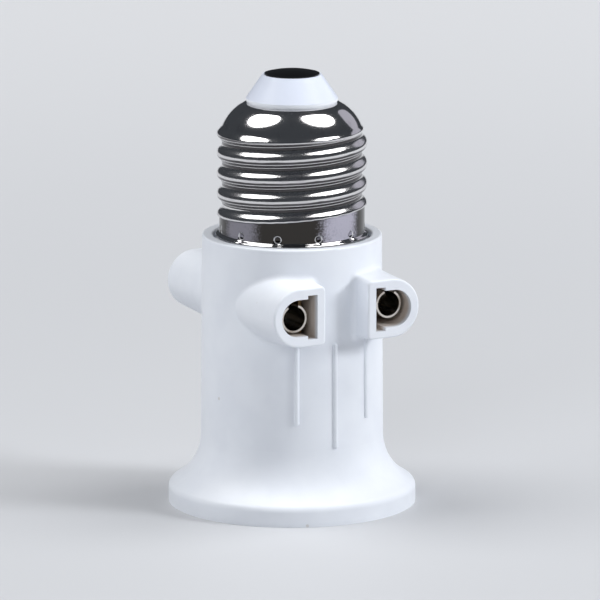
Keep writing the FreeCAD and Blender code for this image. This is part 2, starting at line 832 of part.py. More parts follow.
def make_lead(points):
    """Round lead along straight runs joined by tangent arcs, each as wide as its runs allow."""
    edges = []
    start = points[0]
    for before, corner, after in zip(points, points[1:], points[2:]):
        back = before.sub(corner)
        ahead = after.sub(corner)
        reach = 0.45 * min(back.Length, ahead.Length)
        back.normalize()
        ahead.normalize()
        first = corner.add(back * reach)
        last = corner.add(ahead * reach)
        half = back.getAngle(ahead) / 2
        bisector = back.add(ahead)
        bisector.normalize()
        centre_distance = reach / math.cos(half)
        radius = reach * math.tan(half)
        middle = corner.add(bisector * (centre_distance - radius))
        edges.append(Part.makeLine(start, first))
        edges.append(Part.Arc(first, middle, last).toShape())
        start = last
    edges.append(Part.makeLine(start, points[-1]))
    direction = points[1].sub(points[0])
    ring = Part.Wire(Part.makeCircle(lead_radius, points[0], direction))
    return Part.Wire(edges).makePipeShell([ring], True, False)


def make_leads():
    """The four leads, from each pole's bar up to the cap and down to the tags on the lamp base."""
    run_x = bar_inner_x - 3 * lead_radius
    upper_end = outlet_height
    lower_end = outlet_height - 2 * lead_radius
    tag_top = base_seat_height + tag_sheet
    live_tag_x = tongue_rivet_x - tag_reach + 2 * lead_radius + stud_radius
    neutral_tag_x = -fixing_radius + tag_reach - lead_radius
    low_y = lead_spread / 2
    solder = solder_place()
    return {
        "cap_live_lead": make_lead([
            Vector(0, 0, insulator_top - contact_stem),
            Vector(0, 0, chamber_roof_height + lead_drop),
            Vector(run_x, lead_spread, chamber_roof_height - lead_drop),
            Vector(run_x, lead_spread, upper_end),
            Vector(bar_inner_x, lead_spread, upper_end),
        ]),
        "cap_neutral_lead": make_lead([
            solder,
            Vector(-run_x, -lead_spread, neck_height),
            Vector(-run_x, -lead_spread, upper_end),
            Vector(-bar_inner_x, -lead_spread, upper_end),
        ]),
        "lamp_live_lead": make_lead([
            Vector(bar_inner_x, -low_y, lower_end),
            Vector(live_tag_x, -low_y, lower_end),
            Vector(live_tag_x, -low_y, tag_top),
        ]),
        "lamp_neutral_lead": make_lead([
            Vector(-bar_inner_x, low_y, lower_end),
            Vector(neutral_tag_x, low_y, lower_end),
            Vector(neutral_tag_x, low_y, tag_top),
        ]),
    }


def solder_place():
    """Middle of the solder bead on the cap's inner wall, which is also the end of the neutral lead."""
    wall_x = math.sqrt(cap_bore_radius ** 2 - lead_spread ** 2)
    return Vector(-wall_x + solder_radius / 2, -lead_spread, neck_height + solder_height)


def make_cap_solder(lead):
    """Bead of solder that joins the neutral lead with the inner wall of the cap."""
    place = solder_place()
    bead = Part.makeSphere(solder_radius, place)
    wall = Part.makeCylinder(cap_bore_radius, 4 * solder_radius, Vector(0, 0, place.z - 2 * solder_radius))
    return one_solid(bead.common(wall).cut(lead))


nodes = {
    "housing": make_housing(),
    "cap_shell": make_cap_shell(),
    "cap_insulator": make_cap_insulator(),
    "cap_contact": make_cap_contact(),
    "sleeve_front_live": make_sleeve(sleeve_lift_front),
    "sleeve_front_neutral": other_pole(make_sleeve(-sleeve_lift_front)),
    "sleeve_back_live": to_rear(make_sleeve(0)),
    "sleeve_back_neutral": to_rear(other_pole(make_sleeve(0))),
    "live_bar": make_bar(),
    "neutral_bar": other_pole(make_bar()),
    "live_bar_rivets": make_bar_rivets(),
    "neutral_bar_rivets": other_pole(make_bar_rivets()),
    "lamp_base": make_lamp_base(),
    "lamp_shell": make_lamp_shell(),
    "lamp_tongue": make_lamp_tongue(),
    "tongue_rivet": stud(tongue_rivet_x, base_bottom - tongue_sheet),
    "tongue_tag": make_tag(tongue_rivet_x, -tag_reach + stud_radius),
    "shell_rivet": stud(-fixing_radius, lamp_floor_bottom),
    "shell_tag": make_tag(-fixing_radius, tag_reach),
    "base_screws": Part.makeCompound(both_sides(base_screw())),
}
nodes.update(make_leads())
nodes["cap_solder"] = make_cap_solder(nodes["cap_neutral_lead"])

for name, shape in nodes.items():
    shape.exportStep("parts/" + name + ".step")
    size = shape.BoundBox
    heights = (round(size.ZMin, 2), round(size.ZMax, 2))
    print(name, len(shape.Solids), shape.isValid(), round(shape.Volume, 1), heights)
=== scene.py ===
import math

import bpy
import numpy as np
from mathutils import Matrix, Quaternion, Vector


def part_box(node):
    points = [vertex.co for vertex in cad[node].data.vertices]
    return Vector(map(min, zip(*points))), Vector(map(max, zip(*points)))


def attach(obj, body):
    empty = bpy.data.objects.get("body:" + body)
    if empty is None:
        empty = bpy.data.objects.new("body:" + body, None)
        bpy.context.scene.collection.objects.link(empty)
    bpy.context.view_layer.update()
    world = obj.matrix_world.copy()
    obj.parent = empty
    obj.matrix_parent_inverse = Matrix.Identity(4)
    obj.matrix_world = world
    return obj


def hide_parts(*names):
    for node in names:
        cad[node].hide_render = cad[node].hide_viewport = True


# A white screw-in lamp holder adapter with two outlets and a nickelled screw cap, standing on its skirt.
# The camera stands low at the front, to the left of the outlet's own axis. Blender's lengths are in metres;
# the values of the pockets and of the cap's sheet are in millimetres.

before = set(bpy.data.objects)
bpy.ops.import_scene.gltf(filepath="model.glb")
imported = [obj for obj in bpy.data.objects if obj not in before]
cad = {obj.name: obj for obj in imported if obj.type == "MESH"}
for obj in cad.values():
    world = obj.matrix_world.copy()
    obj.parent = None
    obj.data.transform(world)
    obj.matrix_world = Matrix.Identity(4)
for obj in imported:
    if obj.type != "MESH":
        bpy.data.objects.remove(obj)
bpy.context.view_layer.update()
print("frame loaded,", len(cad), "nodes")

mm = 0.001


def nodeSpan(name):
    # lowest and highest corner of a CAD node, in millimetres
    return [[round(value / mm, 3) for value in corner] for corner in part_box(name)]


# shader maths: a wrapped socket whose operators add their Math nodes

class Wire:
    def __init__(self, paint, socket):
        self.paint = paint
        self.socket = socket

    def math(self, operation, first, second=0.0):
        return self.paint.node("ShaderNodeMath", {"operation": operation}, {0: first, 1: second})

    def __add__(self, other):
        return self.math("ADD", self, other)

    def __radd__(self, other):
        return self.math("ADD", other, self)

    def __sub__(self, other):
        return self.math("SUBTRACT", self, other)

    def __rsub__(self, other):
        return self.math("SUBTRACT", other, self)

    def __mul__(self, other):
        return self.math("MULTIPLY", self, other)

    def __rmul__(self, other):
        return self.math("MULTIPLY", other, self)

    def __truediv__(self, other):
        return self.math("DIVIDE", self, other)

    def __pow__(self, other):
        return self.math("POWER", self, other)

    def fraction(self):
        return self.math("FRACT", self)

    def absolute(self):
        return self.math("ABSOLUTE", self)

    def over(self, low, high):
        # 0 below low, 1 above high, with a soft step between
        return self.paint.node(
            "ShaderNodeMapRange", {"interpolation_type": "SMOOTHSTEP", "clamp": True},
            {"Value": self, "From Min": low, "From Max": high})

    def under(self, low, high):
        # 1 below low, 0 above high
        return 1.0 - self.over(low, high)


class Paint:
    # one material and the nodes in it
    def __init__(self, name):
        self.material = bpy.data.materials.new(name)
        self.material.use_nodes = True
        self.tree = self.material.node_tree
        self.tree.nodes.clear()

    def node(self, kind, settings=None, inputs=None, output=0):
        made = self.tree.nodes.new(kind)
        for key, value in (settings or {}).items():
            setattr(made, key, value)
        for key, value in (inputs or {}).items():
            socket = made.inputs[key]
            if isinstance(value, Wire):
                self.tree.links.new(value.socket, socket)
            elif socket.type == "RGBA":
                socket.default_value = (*value, 1.0)
            else:
                socket.default_value = value
        return Wire(self, made.outputs[output]) if len(made.outputs) else None

    def place(self, scale=(1.0, 1.0, 1.0)):
        # object coordinates in metres, stretched by scale
        coords = self.node("ShaderNodeTexCoord", output="Object")
        return self.node("ShaderNodeVectorMath", {"operation": "MULTIPLY"}, {0: coords, 1: scale})

    def axes(self):
        # object coordinates one by one, in millimetres
        coords = self.place((1.0 / mm, 1.0 / mm, 1.0 / mm))
        split = self.node("ShaderNodeSeparateXYZ", inputs={"Vector": coords})
        return [Wire(self, socket) for socket in split.socket.node.outputs]

    def noise(self, scale, detail=2.0, roughness=0.5, stretch=(1.0, 1.0, 1.0)):
        return self.node(
            "ShaderNodeTexNoise",
            inputs={"Vector": self.place(stretch), "Scale": scale, "Detail": detail, "Roughness": roughness})

    def specks(self, scale, size, core=0.6):
        # 1 inside small spots scattered over the surface, solid up to the core's share of their size
        away = self.node("ShaderNodeTexVoronoi", inputs={"Vector": self.place(), "Scale": scale})
        return away.under(size * core, size)

    def mix(self, share, first, second):
        # inputs 6 and 7 and output 2 are the ones for colours
        return self.node(
            "ShaderNodeMix", {"data_type": "RGBA"}, {"Factor": share, 6: first, 7: second}, output=2)

    def bump(self, height, distance, strength=1.0):
        return self.node(
            "ShaderNodeBump", inputs={"Height": height, "Distance": distance, "Strength": strength})

    def finish(self, **inputs):
        names = {key.replace("_", " "): value for key, value in inputs.items()}
        shader = self.node("ShaderNodeBsdfPrincipled", inputs=names)
        self.node("ShaderNodeOutputMaterial", inputs={"Surface": shader})
        return self.material


# plastics: clouded colour, a faint orange peel and sparse specks

plasticGrain = {
    "cloudScale": 140.0, "cloudDetail": 3.0, "cloudStep": (0.35, 0.7), "peelScale": 900.0,
    "peelStrength": 0.35, "speckShare": 0.35, "refraction": 1.5,
}

whitePlastic = {
    "colour": (0.79, 0.82, 0.87), "shadeColour": (0.755, 0.785, 0.84), "speckColour": (0.42, 0.36, 0.27),
    "roughness": 0.46, "roughnessSpread": 0.08, "peel": 0.00002, "speckScale": 120.0, "speckSize": 0.045,
    "pocketColour": (0.50, 0.40, 0.31),
}

capInsulation = {
    "colour": (0.70, 0.745, 0.85), "shadeColour": (0.67, 0.71, 0.81), "speckColour": (0.42, 0.38, 0.34),
    "roughness": 0.3, "roughnessSpread": 0.08, "peel": 0.00002, "speckScale": 200.0, "speckSize": 0.04,
    "footColour": (0.90, 0.93, 0.98), "footStep": (71.42, 71.72),
}

ceramic = {
    "colour": (0.80, 0.78, 0.73), "shadeColour": (0.70, 0.67, 0.60), "speckColour": (0.36, 0.31, 0.25),
    "roughness": 0.6, "roughnessSpread": 0.15, "peel": 0.00006, "speckScale": 420.0, "speckSize": 0.12,
}

liveInsulation = {
    "colour": (0.20, 0.08, 0.035), "shadeColour": (0.15, 0.06, 0.03), "speckColour": (0.1, 0.05, 0.03),
    "roughness": 0.45, "roughnessSpread": 0.1, "peel": 0.00003, "speckScale": 500.0, "speckSize": 0.05,
}

neutralInsulation = {
    "colour": (0.05, 0.12, 0.38), "shadeColour": (0.04, 0.09, 0.30), "speckColour": (0.03, 0.06, 0.2),
    "roughness": 0.45, "roughnessSpread": 0.1, "peel": 0.00003, "speckScale": 500.0, "speckSize": 0.05,
}

# the outlets' pockets, painted with a warm shade inside: a bore round each sleeve, a flat slot towards the
# middle and the passage that joins them; soft is the width of their edge, and the painted shade sets in under
# the outlets' face between two depths
pocket = {
    "across": 9.4, "height": 36.95, "radius": 3.45, "slotLow": 5.6, "slotHigh": 7.75, "slotHalf": 4.0,
    "soft": 0.05, "joinStep": (0.2, 0.9), "face": 20.1, "shadeStart": 0.1, "shadeFull": 1.6, "share": 0.75,
    "cloudShare": 0.5,
}


def pocketShadeShare(paint, cloud, look):
    # how much of the pockets' painted shade a point takes
    x, y, z = paint.axes()
    aside, depth = x.absolute(), y.absolute()
    across, rise = aside - look["across"], z - look["height"]
    bore = ((across * across + rise * rise) ** 0.5).under(look["radius"], look["radius"] + look["soft"])
    inward = aside.over(look["slotLow"] - look["soft"], look["slotLow"])
    slot = aside.under(look["slotHigh"], look["slotHigh"] + look["soft"])
    slot = slot * rise.absolute().under(look["slotHalf"], look["slotHalf"] + look["soft"])
    passage = aside.under(look["across"], look["across"] + look["soft"])
    passage = passage * rise.absolute().under(look["radius"], look["radius"] + look["soft"])
    inside = (bore + inward * (slot + passage)).over(*look["joinStep"])
    inside = inside * depth.under(look["face"] - look["shadeFull"], look["face"] - look["shadeStart"])
    return inside * (look["share"] + look["cloudShare"] * (cloud - 0.5))


def makePlastic(name, look):
    paint = Paint(name)
    grain = plasticGrain
    cloud = paint.noise(grain["cloudScale"], grain["cloudDetail"])
    peel = paint.noise(grain["peelScale"])
    speck = paint.specks(look["speckScale"], look["speckSize"])
    colour = paint.mix(cloud.over(*grain["cloudStep"]), look["colour"], look["shadeColour"])
    colour = paint.mix(speck * grain["speckShare"], colour, look["speckColour"])
    # painted light: the insulator's foot is paler below a height, to lift the shade that falls on it
    if "footColour" in look:
        height = paint.axes()[2]
        colour = paint.mix(height.under(*look["footStep"]), colour, look["footColour"])
    # painted shade: a warm darker tone inside the outlets' pockets
    if "pocketColour" in look:
        colour = paint.mix(pocketShadeShare(paint, cloud, pocket), colour, look["pocketColour"])
    return paint.finish(
        Base_Color=colour, Roughness=look["roughness"] + look["roughnessSpread"] * (cloud - 0.5),
        IOR=grain["refraction"], Normal=paint.bump(peel, look["peel"], grain["peelStrength"]))


# metals: dull stains over the plain colour, and fine drawn lines

metalGrain = {
    "stainScale": 220.0, "stainDetail": 4.0, "dullStep": (0.45, 0.8), "roughStep": (0.4, 0.9),
    "stainRoughness": 0.08, "lineDetail": 3.0, "lineStrength": 0.4, "noiseRoughness": 0.6,
}

nickel = {
    "colour": (0.80, 0.79, 0.80), "dullColour": (0.62, 0.60, 0.60), "roughness": 0.10, "lineScale": 60.0,
    "lineStretch": (1.0, 1.0, 60.0), "lineDepth": 0.000008,
}

brass = {
    "colour": (0.50, 0.36, 0.20), "dullColour": (0.34, 0.24, 0.13), "roughness": 0.28, "lineScale": 80.0,
    "lineStretch": (1.0, 1.0, 20.0), "lineDepth": 0.00001,
}

steel = {
    "colour": (0.62, 0.62, 0.62), "dullColour": (0.40, 0.40, 0.42), "roughness": 0.3, "lineScale": 90.0,
    "lineStretch": (12.0, 12.0, 1.0), "lineDepth": 0.00001,
}

# painted shade: the nickel contact is painted near black, for the dark opening at the cap's top
contactShadeMetal = {
    "colour": (0.035, 0.034, 0.038), "dullColour": (0.025, 0.025, 0.027), "roughness": 0.34,
    "lineScale": 120.0, "lineStretch": (1.0, 1.0, 8.0), "lineDepth": 0.000006,
}

sleeveMetal = {
    "colour": (0.74, 0.70, 0.64), "dullColour": (0.34, 0.26, 0.19), "roughness": 0.22, "lineScale": 90.0,
    "lineStretch": (8.0, 1.0, 8.0), "lineDepth": 0.000008,
}

solderMetal = {
    "colour": (0.6, 0.6, 0.62), "dullColour": (0.42, 0.42, 0.44), "roughness": 0.38, "lineScale": 200.0,
    "lineStretch": (1.0, 1.0, 1.0), "lineDepth": 0.00004,
}


def stainAndLines(paint, look):
    # the two noises that every metal has
    grain = metalGrain
    stain = paint.noise(grain["stainScale"], grain["stainDetail"], grain["noiseRoughness"])
    lines = paint.noise(look["lineScale"], grain["lineDetail"], grain["noiseRoughness"], look["lineStretch"])
    return stain, lines


def makeMetal(name, look):
    paint = Paint(name)
    grain = metalGrain
    stain, lines = stainAndLines(paint, look)
    colour = paint.mix(stain.over(*grain["dullStep"]), look["colour"], look["dullColour"])
    roughness = look["roughness"] + grain["stainRoughness"] * stain.over(*grain["roughStep"])
    return paint.finish(
        Base_Color=colour, Metallic=1.0, Roughness=roughness,
        Normal=paint.bump(lines, look["lineDepth"], grain["lineStrength"]))


# every CAD node takes one of these finishes

finishes = (
    (makePlastic, "whitePlastic", whitePlastic, ["housing"]),
    (makePlastic, "capInsulation", capInsulation, ["cap_insulator"]),
    (makePlastic, "paleCeramic", ceramic, ["lamp_base"]),
    (makePlastic, "liveInsulation", liveInsulation, ["cap_live_lead", "lamp_live_lead"]),
    (makePlastic, "neutralInsulation", neutralInsulation, ["cap_neutral_lead", "lamp_neutral_lead"]),
    (makeMetal, "rolledNickel", nickel, ["cap_shell"]),
    (makeMetal, "contactNickel", contactShadeMetal, ["cap_contact"]),
    (makeMetal, "sleeveNickel", sleeveMetal, [
        "sleeve_front_live", "sleeve_front_neutral", "sleeve_back_live", "sleeve_back_neutral"]),
    (makeMetal, "rolledBrass", brass, [
        "live_bar", "neutral_bar", "live_bar_rivets", "neutral_bar_rivets", "lamp_shell", "lamp_tongue",
        "tongue_rivet", "tongue_tag", "shell_rivet", "shell_tag"]),
    (makeMetal, "screwSteel", steel, ["base_screws"]),
    (makeMetal, "dullSolder", solderMetal, ["cap_solder"]),
)
for makeFinish, title, look, names in finishes:
    material = makeFinish(title, look)
    for name in names:
        cad[name].data.materials.clear()
        cad[name].data.materials.append(material)
print("finishes made")


# the screw cap's finish, which follows the sheet's thread, edge and stakes

# Each patch is a painted reflection, a lighter stretch on the skirt's painted dark: its angle, where its edge
# starts and ends as the cosine of the angle away from it, and its share; each ridge is a painted highlight, a
# bright line on the thread: its phase and its half width
capNickel = {
    "colour": (0.82, 0.81, 0.81), "dullColour": (0.60, 0.58, 0.60), "rootShadeColour": (0.06, 0.056, 0.058),
    "skirtShadeColour": (0.05, 0.046, 0.042), "reflectionColour": (0.58, 0.56, 0.65), "highlightColour": (0.92, 0.91, 0.92),
    "roughness": 0.09, "threadRoughness": 0.09, "stainRoughness": 0.06, "lineScale": 60.0,
    "lineStretch": (1.0, 1.0, 60.0), "grainScale": 3600.0, "grainDetail": 2.0, "streak": 0.12,
    "rootStart": (0.90, 0.99), "rootEnd": (0.395, 0.445), "rootShare": 0.97, "rootSpread": 0.12,
    "ridges": ((0.11, 0.04), (0.27, 0.05)), "ridgeHeight": 0.00009, "lineDepth": 0.008, "grainDepth": 0.02,
    "patches": (
        (-76.0, 0.925, 0.995, 0.95), (-163.0, 0.93, 0.995, 0.4),
        (40.0, 0.85, 0.985, 0.7), (105.0, 0.9, 1.0, 0.6)),
    "patchGrain": 0.09, "patchStain": 0.05, "skirtStep": (-0.15, 0.1), "beadStep": (-0.1, 0.15),
    "ringRadius": 0.62, "ringHalf": 0.15, "ringHeight": 0.2, "lineGlow": 0.6,
}


def makeCapNickel(name, look, sheet):
    # rolled nickel: bright on each crest and the flank above it, with painted shade in the roots and below
    # the crests, a painted dark reflection on the skirt with lighter painted reflection patches, and painted
    # highlights on thin ridge lines and round the stakes; the phase runs from 0 at a root line to 0.5 at the
    # crest above it and on to 1
    paint = Paint(name)
    x, y, z = paint.axes()
    radius = (x * x + y * y) ** 0.5
    turn = paint.node("ShaderNodeMath", {"operation": "ARCTAN2"}, {0: y, 1: x}) / (2.0 * math.pi)
    phase = ((z - sheet["grooveStart"]) / sheet["pitch"] - turn + sheet["grooveAngle"] / 360.0).fraction()
    wound = paint.node("ShaderNodeAttribute", {"attribute_name": "wound"}, output="Fac")
    stain, lines = stainAndLines(paint, look)
    sand = paint.noise(look["grainScale"], look["grainDetail"], metalGrain["noiseRoughness"])
    streak = (stain - 0.5) * look["streak"]

    # painted shade: darker in the thread's roots and on the flank below each crest
    dark = (phase.over(*look["rootStart"]) + (phase + streak).under(*look["rootEnd"])).over(0.0, 1.0)
    dark = dark * wound * (look["rootShare"] + look["rootSpread"] * (lines - 0.5))
    # painted highlights: thin bright lines along the thread at the ridges' phases
    ridge = 0.0
    for place, half in look["ridges"]:
        ridge = ridge + phase.over(place - half, place) * phase.under(place, place + half)
    ridge = ridge * wound

    high = math.radians(sheet["edgeHighAngle"])
    edge = sheet["edgeMiddle"] + sheet["edgeSlant"] * (x * math.cos(high) + y * math.sin(high)) / radius
    # painted shade: the skirt between the bead and the thread's edge is painted near black, for a dark
    # reflection
    skirt = (z - edge).under(*look["skirtStep"])
    bead = (z - sheet["beadTop"]).over(*look["beadStep"])
    mottle = look["patchGrain"] * (sand - 0.5) + look["patchStain"] * (stain - 0.5)
    # painted reflections: lighter patches on that skirt, facing the patches' angles
    patch = 0.0
    for angle, low, top, share in look["patches"]:
        facing = (x * math.cos(math.radians(angle)) + y * math.sin(math.radians(angle))) / radius
        patch = patch + (facing + mottle).over(low, top) * share

    step = 360.0 / sheet["stakes"]
    along = ((turn * 360.0 - sheet["stakeAngle"]) / step + 0.5).fraction() - 0.5
    along = along * (math.radians(step) * sheet["skirtRadius"])
    rise = z - sheet["stakeHeight"]
    away = (along * along + rise * rise) ** 0.5
    # painted highlight: a bright ring round each stake's dent
    ring = away.over(look["ringRadius"] - look["ringHalf"], look["ringRadius"])
    ring = ring * away.under(look["ringRadius"], look["ringRadius"] + look["ringHalf"]) * skirt

    colour = paint.mix(stain.over(*metalGrain["dullStep"]), look["colour"], look["dullColour"])
    # painted shade in the roots and below the crests
    colour = paint.mix(dark, colour, look["rootShadeColour"])
    # painted highlight lines on the ridges
    colour = paint.mix(ridge, colour, look["highlightColour"])
    # the skirt's painted dark reflection with its lighter painted reflection patches
    below = paint.mix(patch, look["skirtShadeColour"], look["reflectionColour"])
    colour = paint.mix(skirt * bead, colour, below)
    # painted highlight rings round the stakes
    colour = paint.mix(ring, colour, look["highlightColour"])
    roughness = look["roughness"] + look["stainRoughness"] * stain.over(*metalGrain["roughStep"])
    height = ridge + look["ringHeight"] * ring + look["lineDepth"] * lines + look["grainDepth"] * sand
    # the painted highlights lose their metal so their pale colour shows; the ridges and rings also bump the
    # surface
    return paint.finish(
        Base_Color=colour, Metallic=1.0 - look["lineGlow"] * (ridge + ring).over(0.0, 1.0),
        Roughness=roughness + look["threadRoughness"] * wound,
        Normal=paint.bump(height, look["ridgeHeight"], 1.0))


# the screw cap's sheet, with its rolled thread, its run-outs and the ring of stakes; it stands where the
# plain cap of the CAD model does, from the same lowest to the same highest point

capLow, capHigh = nodeSpan("cap_shell")

# From the bottom up: the bead, the skirt, the slanting edge where the thread's band begins, the band with its
# groove, the domed shoulder from its foot to its bend, and the flat lip. Rounds are the lengths over which
# corners are worn, steps are the rows' spacings, and wound says how far the rolled finish reaches.
capSheet = {
    "bottom": capLow[2], "beadRadius": capHigh[0], "beadEdge": 0.35, "beadTop": 48.05, "skirtRadius": 12.7,
    "crestRadius": 13.1, "threadTop": 65.5, "footRadius": 12.2, "foot": 66.6, "bendRadius": 9.4,
    "bend": 70.05, "lipRadius": 7.55, "lip": capHigh[2], "lipFlat": 0.65, "bulge": 0.3, "sheet": 0.35,
    "boreRadius": 11.85, "neckTop": 50.6, "neckSlope": 0.9, "innerBend": (0.29, 0.2), "hem": (0.02, 0.05),
    "threadLead": 1.4, "threadStep": 0.155, "skirtRound": 0.3, "skirtStep": 0.1, "shoulderLead": 0.3,
    "shoulderRound": 0.8, "shoulderStep": 0.2, "around": 540,
    "edgeMiddle": 51.9, "edgeSlant": 0.92, "edgeHighAngle": -28.2, "edgeSoftness": 0.22,
    "pitch": 3.629, "depth": 0.9, "grooveStart": 52.41, "grooveAngle": 111.8, "grooveTurns": 3.72,
    "fadeTurns": 0.16, "woundReach": 0.52, "woundPast": 0.25, "woundFade": 0.3,
    "stakes": 11, "stakeHeight": 48.75, "stakeAngle": -129.5, "stakeRadius": 1.1, "stakeDepth": 0.34,
    "bowlReach": 0.35, "pinch": 0.1, "pinchWidth": 0.9, "pinchHeight": 0.8,
}


def softStep(value):
    # 0 below 0, 1 above 1, with a soft step between
    held = np.clip(value, 0.0, 1.0)
    return held * held * (3.0 - 2.0 * held)


def resample(points, spacing):
    # points at even steps along a broken line
    steps = np.hypot(*np.diff(points, axis=0).T)
    along = np.concatenate([[0.0], np.cumsum(steps)])
    count = max(2, int(round(along[-1] / spacing)) + 1)
    wanted = np.linspace(0.0, along[-1], count)
    return np.stack([np.interp(wanted, along, points[:, axis]) for axis in (0, 1)], 1)


def arcPoints(start, end, bulge, count=24):
    # a shallow arc: the chord, pushed out square to itself by a parabola of the bulge
    share = np.linspace(0.0, 1.0, count)[:, None]
    start, end = np.array(start), np.array(end)
    chord = end - start
    square = np.array([chord[1], -chord[0]]) / np.hypot(*chord)
    return start + chord * share + square * bulge * 4.0 * share * (1.0 - share)


def rounded(points, reach, spacing, fineStep=0.02):
    # a line whose corners are worn round by a running mean over its length
    fine = resample(points, fineStep)
    width = int(round(reach / fineStep)) | 1
    kernel = np.hanning(width + 2)[1:-1]
    kernel /= kernel.sum()
    padded = np.concatenate([np.repeat(fine[:1], width // 2, 0), fine, np.repeat(fine[-1:], width // 2, 0)])
    worn = np.stack([np.convolve(padded[:, axis], kernel, "valid") for axis in (0, 1)], 1)
    worn[0], worn[-1] = fine[0], fine[-1]
    return resample(worn, spacing)


def knuckle(away, look):
    # height of the rolled thread over its root, from 0 to 1, by the distance from a root line:
    # a hollow arc at the root and a round arc at the crest, both of one radius and tangent half way
    quarter = look["pitch"] / 4.0
    turn = 2.0 * math.atan(look["depth"] / (2.0 * quarter))
    radius = quarter / math.sin(turn)
    away = np.minimum(np.abs(away), 2.0 * quarter)
    hollow = radius - np.sqrt(np.maximum(radius ** 2 - away ** 2, 0.0))
    crest = look["depth"] - radius + np.sqrt(np.maximum(radius ** 2 - (2.0 * quarter - away) ** 2, 0.0))
    return np.where(away < quarter, hollow, crest) / look["depth"]


def capSection(look):
    # the sheet's section as points of radius and height: up its outside from the bead over the skirt, the
    # thread and the shoulder to the lip, then down its inside; also which of the points are outside
    sheet = look["sheet"]
    threadFoot = (look["skirtRadius"], look["edgeMiddle"] - look["threadLead"])
    skirt = rounded(np.array([
        (look["beadRadius"] - sheet, look["bottom"]), (look["beadRadius"], look["bottom"]),
        (look["beadRadius"], look["bottom"] + look["beadEdge"]), (look["skirtRadius"], look["beadTop"]),
        threadFoot]), look["skirtRound"], look["skirtStep"])
    crest, top = look["crestRadius"], look["threadTop"]
    thread = resample(np.array([threadFoot, (look["skirtRadius"], top)]), look["threadStep"])
    shoulder = rounded(np.concatenate([
        [(crest, top - look["shoulderLead"]), (crest, top)],
        arcPoints((look["footRadius"], look["foot"]), (look["bendRadius"], look["bend"]), look["bulge"]),
        [(look["lipRadius"] + look["lipFlat"], look["lip"]), (look["lipRadius"], look["lip"])]]),
        look["shoulderRound"], look["shoulderStep"])
    shoulder = shoulder[shoulder[:, 1] > top]
    inward, down = look["innerBend"]
    hemIn, hemUp = look["hem"]
    inside = np.array([
        (look["lipRadius"], look["lip"] - sheet), (look["bendRadius"] - inward, look["bend"] - down),
        (look["boreRadius"], look["foot"]), (look["boreRadius"], look["neckTop"] + look["neckSlope"]),
        (look["skirtRadius"] - sheet, look["neckTop"]), (look["skirtRadius"] - sheet, look["beadTop"]),
        (look["beadRadius"] - sheet - hemIn, look["bottom"] + hemUp)])
    section = np.concatenate([skirt[:-1], thread[:-1], shoulder, inside])
    outside = np.arange(len(section)) < len(section) - len(inside)
    return section, outside[:, None]


def rollThread(radius, height, angle, outside, look):
    # the thread's band stands out to its crests, above an edge that slants round the skirt, and a groove is
    # sunk in it along a helix, fading in and out at its ends; also the share of rolled thread at each point
    edge = look["edgeMiddle"] + look["edgeSlant"] * np.cos(angle - math.radians(look["edgeHighAngle"]))
    band = (height > look["edgeMiddle"] - look["threadLead"]) & (height <= look["threadTop"])
    lift = softStep((height - edge) / look["edgeSoftness"] + 0.5)
    radius = radius + band * lift * (look["crestRadius"] - look["skirtRadius"])

    past = np.mod(angle - math.radians(look["grooveAngle"]), 2.0 * math.pi) / (2.0 * math.pi)
    cut = np.zeros(radius.shape)
    wound = np.zeros(radius.shape)
    for turn in range(-1, math.ceil(look["grooveTurns"]) + 1):
        along = past + turn
        away = height - look["grooveStart"] - look["pitch"] * along
        fade = softStep(along / look["fadeTurns"] + 1.0)
        fade = fade * softStep((look["grooveTurns"] - along) / look["fadeTurns"] + 1.0)
        cut = np.maximum(cut, look["depth"] * (1.0 - knuckle(away, look)) * fade)
        wound = np.maximum(wound, fade * (np.abs(away) <= look["pitch"] * look["woundReach"]))
    threaded = outside & (height > look["beadTop"])
    wound = wound * threaded * lift
    wound = wound * softStep((look["threadTop"] + look["woundPast"] - height) / look["woundFade"])
    sunk = np.minimum(radius, look["crestRadius"] - cut)
    return np.where(threaded & (cut > 0.0), sunk, radius), wound


def pressStakes(radius, height, angle, outside, look):
    # at each stake a ball presses a round dent in the skirt, and the bead below it is pinched in
    ball = look["skirtRadius"] - look["stakeDepth"] + look["stakeRadius"]
    reached = outside & (height > look["beadTop"] - look["bowlReach"])
    for stake in range(look["stakes"]):
        centre = math.radians(look["stakeAngle"] + 360.0 / look["stakes"] * stake)
        turn = np.mod(angle - centre + math.pi, 2.0 * math.pi) - math.pi
        across = turn * look["skirtRadius"]
        awaySquared = across ** 2 + (height - look["stakeHeight"]) ** 2
        bowl = ball - np.sqrt(np.maximum(look["stakeRadius"] ** 2 - awaySquared, 0.0))
        inBowl = reached & (awaySquared < look["stakeRadius"] ** 2)
        radius = np.where(inBowl, np.minimum(radius, bowl), radius)
        pull = look["pinch"] * np.exp(-(across / look["pinchWidth"]) ** 2)
        pull = pull * np.exp(-((height - look["bottom"]) / look["pinchHeight"]) ** 2)
        radius = radius - outside * pull
    return radius


